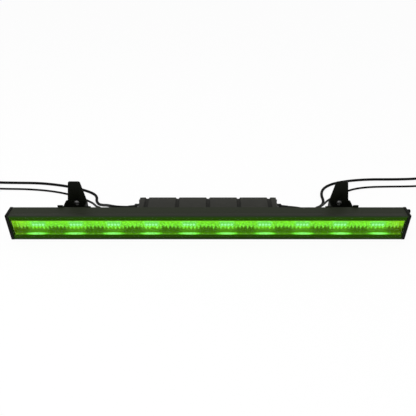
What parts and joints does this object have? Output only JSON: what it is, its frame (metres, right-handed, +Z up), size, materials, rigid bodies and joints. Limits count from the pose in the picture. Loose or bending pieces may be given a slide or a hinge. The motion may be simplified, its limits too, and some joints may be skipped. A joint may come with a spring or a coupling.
{
  "type": "led light bar",
  "caption": "Long slim LED wall-wash bar with a lit glass front, rear power supply, hanging brackets with swinging arms and side leads.",
  "frame": {"origin": "under the middle of the fixture without its leads, on the surface that the end caps stand on", "axes": "+X along the bar to the right as seen from the lit side, -Y out of the lit front, +Z up"},
  "size_m": [1.4941, 0.3085, 0.1292],
  "materials": {
    "anodised_aluminium": "dark grey anodised",
    "cast_end_cap": "satin dark grey paint",
    "cast_aluminium": "satin grey paint",
    "clear_glass": "clear toughened",
    "border_print": "black print lit green",
    "polished_reflector": "bright rolled",
    "silicone_seal": "matt black",
    "circuit_board": "white solder mask",
    "led_lens": "clear moulded lens",
    "powder_coat": "fine texture black",
    "nickel_screw": "dark nickel",
    "black_screw": "black zinc",
    "nylon": "black nylon",
    "gland_nylon": "moulded black",
    "lead_rubber": "black sheath",
    "plug_plastic": "moulded black",
    "coil": "taped coil",
    "can": "sleeved can"
  },
  "bodies": {
    "fixture": {"bottom_rail": "anodised_aluminium", "breather_vent": "gland_nylon", "driver_board": "circuit_board", "driver_capacitors": "can", "driver_case": "cast_aluminium", "driver_end_left": "cast_aluminium", "driver_end_right": "cast_aluminium", "driver_foot_screws": "black_screw", "driver_screws": "black_screw", "driver_transformer": "coil", "front_glass": "clear_glass", "glass_seal": "silicone_seal", "housing": "anodised_aluminium", "led_board_left": "circuit_board", "led_board_right": "circuit_board", "led_module_01": "led_lens", "led_module_02": "led_lens", "led_module_03": "led_lens", "led_module_04": "led_lens", "led_module_05": "led_lens", "led_module_06": "led_lens", "led_module_07": "led_lens", "led_module_08": "led_lens", "led_module_09": "led_lens", "led_module_10": "led_lens", "left_bracket": "powder_coat", "left_bracket_screws": "black_screw", "left_cap_gasket": "silicone_seal", "left_cap_screws": "black_screw", "left_data_gland": "gland_nylon", "left_data_lead": "lead_rubber", "left_data_plug": "plug_plastic", "left_end_cap": "cast_end_cap", "left_pivot_bolt": "nickel_screw", "left_pivot_nut": "black_screw", "left_pivot_washers": "nylon", "left_power_gland": "gland_nylon", "left_power_lead": "lead_rubber", "left_power_plug": "plug_plastic", "reflector": "polished_reflector", "right_bracket": "powder_coat", "right_bracket_screws": "black_screw", "right_cap_gasket": "silicone_seal", "right_cap_screws": "black_screw", "right_data_gland": "gland_nylon", "right_data_lead": "lead_rubber", "right_data_plug": "plug_plastic", "right_end_cap": "cast_end_cap", "right_pivot_bolt": "nickel_screw", "right_pivot_nut": "black_screw", "right_pivot_washers": "nylon", "right_power_gland": "gland_nylon", "right_power_lead": "lead_rubber", "right_power_plug": "plug_plastic", "top_rail": "anodised_aluminium", "window_mask": "border_print"},
    "left_arm": {"left_arm": "powder_coat"},
    "right_arm": {"right_arm": "powder_coat"}
  },
  "joints": [
    {"name": "left_arm_swing", "type": "hinge", "parent": "fixture", "child": "left_arm", "pos_m": [-0.3385, 0.0295, 0.069], "axis": [0, -1, 0], "range_deg": [-20, 180]},
    {"name": "right_arm_swing", "type": "hinge", "parent": "fixture", "child": "right_arm", "pos_m": [0.3385, 0.0295, 0.069], "axis": [0, 1, 0], "range_deg": [-20, 180]}
  ]
}
